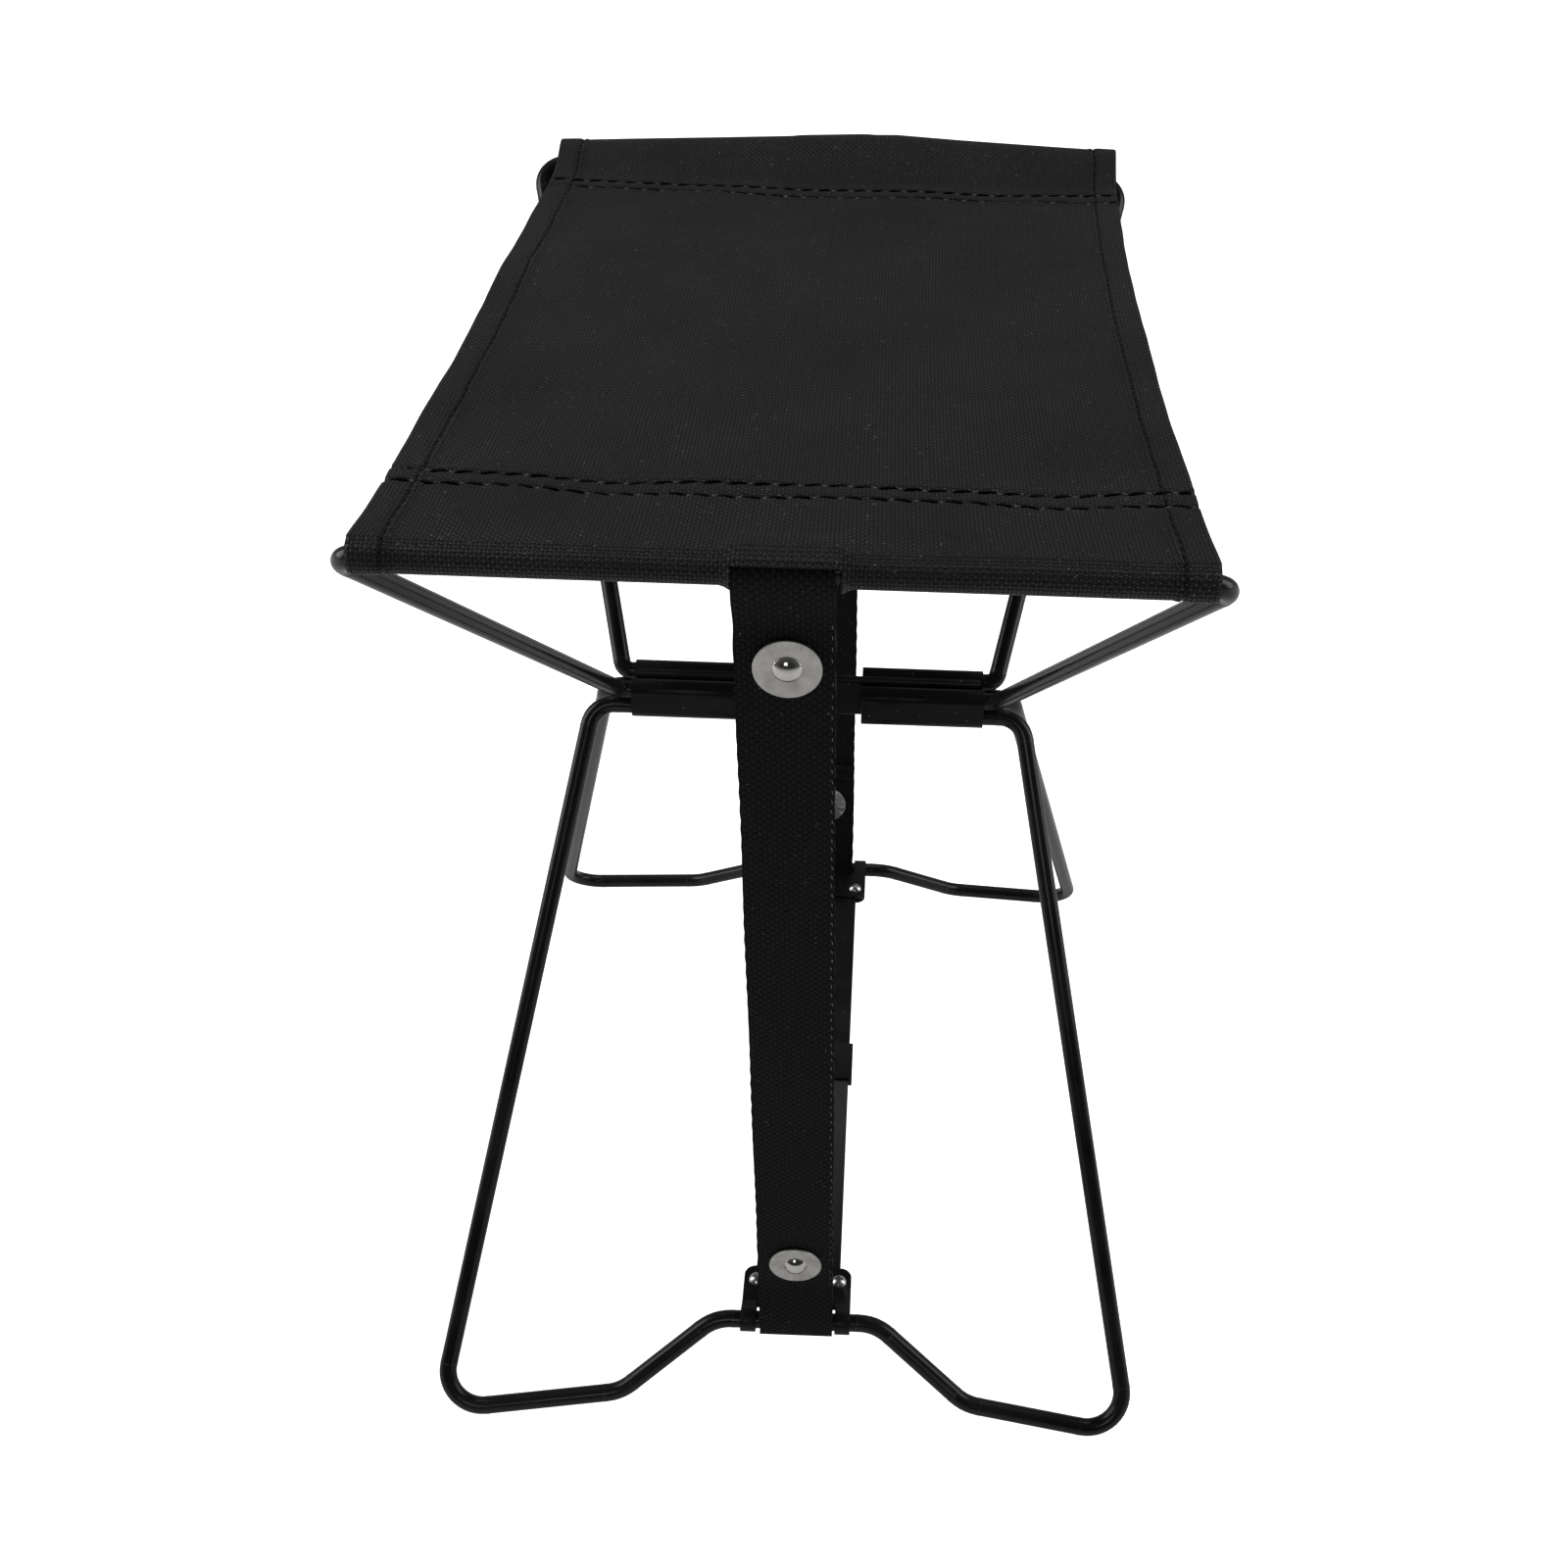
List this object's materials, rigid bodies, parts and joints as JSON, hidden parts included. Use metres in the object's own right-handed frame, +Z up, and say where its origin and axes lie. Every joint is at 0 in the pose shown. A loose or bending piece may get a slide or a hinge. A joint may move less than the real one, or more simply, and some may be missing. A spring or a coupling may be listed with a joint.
{
  "type": "camp stool",
  "caption": "Small folding camp stool: a fabric seat on black wire loops that turn in a central hinge, held open by webbing straps and a floor brace.",
  "frame": {"origin": "on the floor, under the middle of the stool", "axes": "+X along the top bars, +Y from the front bar to the rear bar, +Z up"},
  "size_m": [0.2407, 0.3128, 0.3463],
  "materials": {
    "wire": "satin black powder coat",
    "hinge": "satin black powder coat",
    "sheet": "satin black powder coat",
    "seat_fabric": "black plain-weave polyester oxford cloth",
    "webbing": "black ribbed polypropylene webbing",
    "plated": "bright nickel plate",
    "zinc": "bright zinc plate"
  },
  "bodies": {
    "root": {"near_hinge_plate": "hinge", "far_hinge_plate": "hinge", "near_left_sleeve": "hinge", "near_right_sleeve": "hinge", "far_left_sleeve": "hinge", "far_right_sleeve": "hinge", "seat_panel": "seat_fabric"},
    "near_seat": {"near_seat_loop": "wire", "near_seat_hem": "seat_fabric"},
    "far_seat": {"far_seat_loop": "wire", "far_seat_hem": "seat_fabric"},
    "near_leg": {"near_leg_loop": "wire"},
    "far_leg": {"far_leg_loop": "wire"},
    "near_brace": {"near_bracket": "sheet", "near_brace_plate": "sheet", "brace_clip": "sheet", "brace_stud": "plated", "near_bracket_screws": "zinc", "near_bracket_nuts": "zinc"},
    "far_brace": {"far_bracket": "sheet", "far_brace_plate": "sheet", "far_bracket_screws": "zinc", "far_bracket_nuts": "zinc"},
    "near_strap_top": {"near_strap_upper": "webbing", "near_upper_washers": "plated", "near_upper_rivet": "plated"},
    "near_strap_end": {"near_strap_lower": "webbing", "near_lower_washers": "plated", "near_lower_rivet": "plated"},
    "far_strap_top": {"far_strap_upper": "webbing", "far_upper_washers": "plated", "far_upper_rivet": "plated"},
    "far_strap_end": {"far_strap_lower": "webbing", "far_lower_washers": "plated", "far_lower_rivet": "plated"}
  },
  "joints": [
    {"name": "near_leg_fold", "type": "hinge", "parent": "root", "child": "near_leg", "pos_m": [0, -0.0061, 0.2052], "axis": [1, 0, 0], "range_deg": [-138.4, 0], "deforming": ["seat_panel", "near_seat_hem", "far_seat_hem", "near_strap_upper", "near_strap_lower", "far_strap_upper", "far_strap_lower", "near_upper_washers", "near_lower_washers", "far_upper_washers", "far_lower_washers", "near_upper_rivet", "near_lower_rivet", "far_upper_rivet", "far_lower_rivet"]},
    {"name": "far_leg_fold", "type": "hinge", "parent": "root", "child": "far_leg", "pos_m": [0, 0.0061, 0.2052], "axis": [1, 0, 0], "range_deg": [0, 138.62]},
    {"name": "near_seat_fold", "type": "hinge", "parent": "root", "child": "near_seat", "pos_m": [0, -0.0061, 0.2113], "axis": [1, 0, 0], "range_deg": [-48.47, 0]},
    {"name": "far_seat_fold", "type": "hinge", "parent": "root", "child": "far_seat", "pos_m": [0, 0.0061, 0.2113], "axis": [1, 0, 0], "range_deg": [0, 48.47]},
    {"name": "near_brace_fold", "type": "hinge", "parent": "near_leg", "child": "near_brace", "pos_m": [0, -0.12661, 0.0304], "axis": [1, 0, 0], "range_deg": [0, 41.6]},
    {"name": "far_brace_fold", "type": "hinge", "parent": "far_leg", "child": "far_brace", "pos_m": [0, 0.12661, 0.0304], "axis": [1, 0, 0], "range_deg": [-41.62, 0]},
    {"name": "near_strap_swing", "type": "hinge", "parent": "near_seat", "child": "near_strap_top", "pos_m": [0, -0.1515, 0.341], "axis": [1, 0, 0], "range_deg": [0, 38.89]},
    {"name": "near_strap_bend", "type": "hinge", "parent": "near_strap_top", "child": "near_strap_end", "pos_m": [0, -0.14019, 0.19042], "axis": [1, 0, 0], "range_deg": [-171.17, 0]},
    {"name": "far_strap_swing", "type": "hinge", "parent": "far_seat", "child": "far_strap_top", "pos_m": [0, 0.1515, 0.341], "axis": [1, 0, 0], "range_deg": [-38.88, 0]},
    {"name": "far_strap_bend", "type": "hinge", "parent": "far_strap_top", "child": "far_strap_end", "pos_m": [0, 0.14019, 0.19042], "axis": [1, 0, 0], "range_deg": [0, 171.19]}
  ],
  "couplings": [
    {"joint": "far_leg_fold", "follows": "near_leg_fold", "ratio": -1.0001},
    {"joint": "near_seat_fold", "follows": "near_leg_fold", "ratio": 0.34875},
    {"joint": "far_seat_fold", "follows": "near_leg_fold", "ratio": -0.34875},
    {"joint": "near_brace_fold", "follows": "near_leg_fold", "ratio": -0.29913},
    {"joint": "far_brace_fold", "follows": "near_leg_fold", "ratio": 0.29926},
    {"joint": "near_strap_swing", "follows": "near_leg_fold", "ratio": -0.27956},
    {"joint": "near_strap_bend", "follows": "near_leg_fold", "ratio": 1.2353},
    {"joint": "far_strap_swing", "follows": "near_leg_fold", "ratio": 0.27951},
    {"joint": "far_strap_bend", "follows": "near_leg_fold", "ratio": -1.2355}
  ]
}
